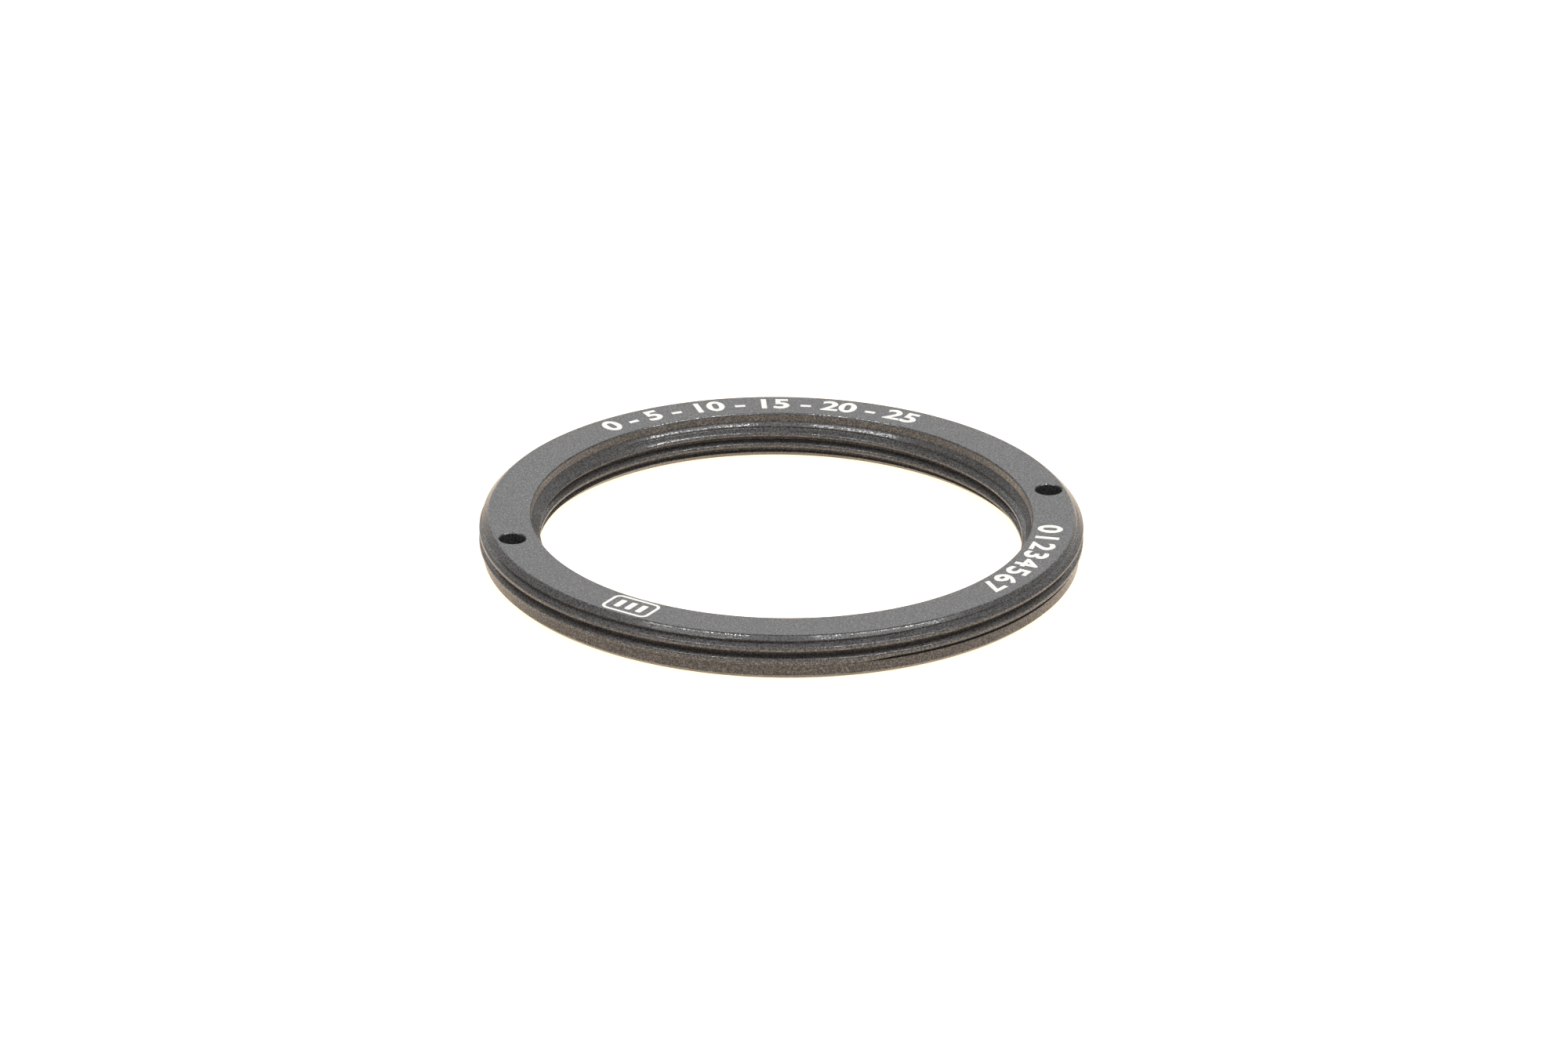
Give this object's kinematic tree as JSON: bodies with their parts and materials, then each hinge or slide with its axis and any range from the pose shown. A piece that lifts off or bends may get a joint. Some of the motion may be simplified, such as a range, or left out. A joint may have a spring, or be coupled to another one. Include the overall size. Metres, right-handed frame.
{
  "type": "threaded adapter ring",
  "caption": "Low-profile matte black metal ring that steps a large outer filter thread down to a smaller inner thread, with spanner holes in its marked face.",
  "frame": {"origin": "centre of the bottom face, on the ring's axis", "axes": "+Z along the ring's axis, out of the marked face that holds the spanner holes; +X through one spanner hole"},
  "size_m": [0.0506, 0.0506, 0.0038],
  "materials": {
    "black_anodised_aluminium": "matte black anodised over a bead-blasted surface",
    "white_marking_ink": "thin screen-printed white marking ink on the marked face; it has no solid of its own"
  },
  "bodies": {
    "root": {"adapter_ring": "black_anodised_aluminium"}
  },
  "joints": []
}
